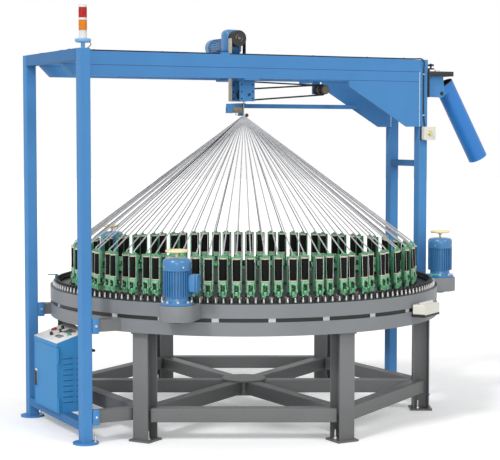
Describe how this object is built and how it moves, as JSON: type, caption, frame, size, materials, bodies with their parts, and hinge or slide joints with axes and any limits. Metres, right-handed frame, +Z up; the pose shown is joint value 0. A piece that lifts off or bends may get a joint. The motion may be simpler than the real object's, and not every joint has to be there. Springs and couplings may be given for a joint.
{
  "type": "circular braiding machine",
  "caption": "Floor-standing maypole braiding machine: carrier ring on a six-leg base under a gantry that draws the converging yarns up through a forming ring and out by a tube.",
  "frame": {"origin": "on the floor, on the axis of the carrier ring", "axes": "+Z up the ring axis, +Y away from the side seen in the picture, +X to its right"},
  "size_m": [3.7888, 3.2229, 3.072],
  "materials": {
    "grey_paint": "satin",
    "spacer_grey": "satin",
    "blue_paint": "satin",
    "tube_blue": "satin",
    "carrier_green": "satin",
    "spool_black": "matte",
    "yarn_white": "matte",
    "wheel_yellow": "gloss",
    "gearmotor_blue": "satin",
    "steel": "brushed",
    "belt_black": "matte",
    "lamp_white": "gloss",
    "lamp_red": "gloss",
    "lamp_amber": "gloss",
    "cabinet_blue": "satin",
    "chrome_handle": "polished",
    "box_offwhite": "matte",
    "button_white": "gloss",
    "button_yellow": "gloss",
    "button_red": "gloss",
    "button_green": "gloss",
    "knob_black": "matte"
  },
  "bodies": {
    "machine": {"leg_columns": "grey_paint", "perimeter_rails": "grey_paint", "radial_beams": "grey_paint", "center_hub": "grey_paint", "lower_ring": "grey_paint", "gear_housing": "grey_paint", "track_rims": "grey_paint", "drive_pods": "grey_paint", "link_beams": "grey_paint", "ring_spacers": "spacer_grey", "track_discs": "spacer_grey", "gantry_posts": "blue_paint", "long_beams": "blue_paint", "cross_beams": "blue_paint", "forming_arm": "blue_paint", "takeup_plate": "blue_paint", "guide_bracket": "blue_paint", "motor_frames": "blue_paint", "motor_terminal_boxes": "blue_paint", "pulley_hanger": "blue_paint", "roller_box": "blue_paint", "stop_posts": "blue_paint", "carrier_frames": "carrier_green", "spools": "spool_black", "station_tray": "spool_black", "yarn_strands": "yarn_white", "braid_band": "yarn_white", "takeup_gearmotor": "gearmotor_blue", "forming_ring": "steel", "drive_belt": "belt_black", "lamp_base": "lamp_white", "lamp_band": "lamp_white", "lamp_cap": "lamp_white", "lamp_lens_red": "lamp_red", "lamp_lens_amber": "lamp_amber", "cabinet_shell": "cabinet_blue", "switch_box": "box_offwhite", "button_station": "box_offwhite"},
    "handwheel_front": {"handwheel_front": "wheel_yellow"},
    "handwheel_right": {"handwheel_right": "wheel_yellow"},
    "handwheel_rear": {"handwheel_rear": "wheel_yellow"},
    "takeup_capstan": {"takeup_capstan": "spool_black"},
    "belt_roller": {"belt_roller": "steel"},
    "belt_pulley": {"belt_pulley": "steel"},
    "guide_roller": {"guide_roller": "steel"},
    "clamp_knob": {"clamp_knob": "spool_black"},
    "delivery_tube": {"delivery_tube": "tube_blue"},
    "cabinet_door": {"cabinet_door": "cabinet_blue"},
    "door_handle": {"door_handle": "chrome_handle"},
    "emergency_button": {"emergency_button": "button_red"},
    "start_button": {"start_button": "button_green"},
    "selector_knob": {"selector_knob": "knob_black"},
    "main_switch": {"main_switch": "spool_black"},
    "stop_lever_left": {"stop_lever_left": "button_green"},
    "stop_lever_right": {"stop_lever_right": "button_green"},
    "switch_button": {"switch_button": "button_yellow"},
    "push_button_1": {"push_button_1": "button_white"},
    "push_button_2": {"push_button_2": "button_white"},
    "push_button_3": {"push_button_3": "button_white"},
    "push_button_4": {"push_button_4": "button_white"}
  },
  "joints": [
    {"name": "handwheel_front_turn", "type": "hinge", "parent": "machine", "child": "handwheel_front", "pos_m": [-0.4548, -1.58608, 1.333], "axis": [0, 0, 1], "continuous": true},
    {"name": "handwheel_right_turn", "type": "hinge", "parent": "machine", "child": "handwheel_right", "pos_m": [1.60099, 0.39917, 1.333], "axis": [0, 0, 1], "continuous": true},
    {"name": "handwheel_rear_turn", "type": "hinge", "parent": "machine", "child": "handwheel_rear", "pos_m": [-1.14619, 1.18691, 1.333], "axis": [0, 0, 1], "continuous": true},
    {"name": "takeup_capstan_turn", "type": "hinge", "parent": "machine", "child": "takeup_capstan", "pos_m": [-0.04009, -0.02043, 2.92], "axis": [-0.454, 0.891, 0], "continuous": true},
    {"name": "belt_roller_turn", "type": "hinge", "parent": "machine", "child": "belt_roller", "pos_m": [0.01426, 0.00726, 2.482], "axis": [-0.454, 0.891, 0], "continuous": true},
    {"name": "belt_pulley_turn", "type": "hinge", "parent": "machine", "child": "belt_pulley", "pos_m": [0.63262, 0.32233, 2.53], "axis": [-0.454, 0.891, 0], "continuous": true},
    {"name": "guide_roller_turn", "type": "hinge", "parent": "machine", "child": "guide_roller", "pos_m": [1.63945, 0.83534, 2.672], "axis": [-0.454, 0.891, 0], "continuous": true},
    {"name": "clamp_knob_turn", "type": "hinge", "parent": "machine", "child": "clamp_knob", "pos_m": [1.54431, 0.64321, 2.72], "axis": [0, 0, 1], "range_deg": [-180, 180]},
    {"name": "delivery_tube_turn", "type": "hinge", "parent": "machine", "child": "delivery_tube", "pos_m": [1.60139, 0.78228, 2.512], "axis": [-0.454, 0.891, 0], "range_deg": [-15, 15]},
    {"name": "cabinet_door_turn", "type": "hinge", "parent": "machine", "child": "cabinet_door", "pos_m": [-1.3403, -1.00615, 0.4], "axis": [0, 0, 1], "range_deg": [0, 110]},
    {"name": "door_handle_turn", "type": "hinge", "parent": "cabinet_door", "child": "door_handle", "pos_m": [-1.55807, -0.59859, 0.3935], "axis": [-0.891, -0.454, 0], "range_deg": [0, 90]},
    {"name": "emergency_button_slide", "type": "slide", "parent": "machine", "child": "emergency_button", "axis": [0.2658, 0.1354, -0.9545], "range_m": [0, 0.004], "stiffness_N_per_m": 400},
    {"name": "start_button_slide", "type": "slide", "parent": "machine", "child": "start_button", "axis": [0.2658, 0.1354, -0.9545], "range_m": [0, 0.004], "stiffness_N_per_m": 400},
    {"name": "selector_knob_turn", "type": "hinge", "parent": "machine", "child": "selector_knob", "pos_m": [-1.35594, -0.71333, 0.702], "axis": [-0.2658, -0.1354, 0.9545], "range_deg": [-45, 45]},
    {"name": "main_switch_turn", "type": "hinge", "parent": "machine", "child": "main_switch", "pos_m": [-1.15836, -0.81917, 0.586], "axis": [0.891, 0.454, 0], "range_deg": [0, 90]},
    {"name": "stop_lever_left_turn", "type": "hinge", "parent": "machine", "child": "stop_lever_left", "pos_m": [-1.46599, -0.07683, 1.073], "axis": [0, 0, 1], "range_deg": [-20, 20]},
    {"name": "stop_lever_right_turn", "type": "hinge", "parent": "machine", "child": "stop_lever_right", "pos_m": [1.46599, -0.07683, 1.073], "axis": [0, 0, 1], "range_deg": [-20, 20]},
    {"name": "switch_button_slide", "type": "slide", "parent": "machine", "child": "switch_button", "axis": [-0.454, 0.891, 0], "range_m": [0, 0.004], "stiffness_N_per_m": 400},
    {"name": "push_button_1_slide", "type": "slide", "parent": "machine", "child": "push_button_1", "axis": [0, 0, -1], "range_m": [0, 0.004], "stiffness_N_per_m": 400},
    {"name": "push_button_2_slide", "type": "slide", "parent": "machine", "child": "push_button_2", "axis": [0, 0, -1], "range_m": [0, 0.004], "stiffness_N_per_m": 400},
    {"name": "push_button_3_slide", "type": "slide", "parent": "machine", "child": "push_button_3", "axis": [0, 0, -1], "range_m": [0, 0.004], "stiffness_N_per_m": 400},
    {"name": "push_button_4_slide", "type": "slide", "parent": "machine", "child": "push_button_4", "axis": [0, 0, -1], "range_m": [0, 0.004], "stiffness_N_per_m": 400}
  ],
  "couplings": [
    {"joint": "handwheel_right_turn", "follows": "handwheel_front_turn", "ratio": 1},
    {"joint": "handwheel_rear_turn", "follows": "handwheel_front_turn", "ratio": 1},
    {"joint": "belt_pulley_turn", "follows": "belt_roller_turn", "ratio": 1.1212}
  ]
}
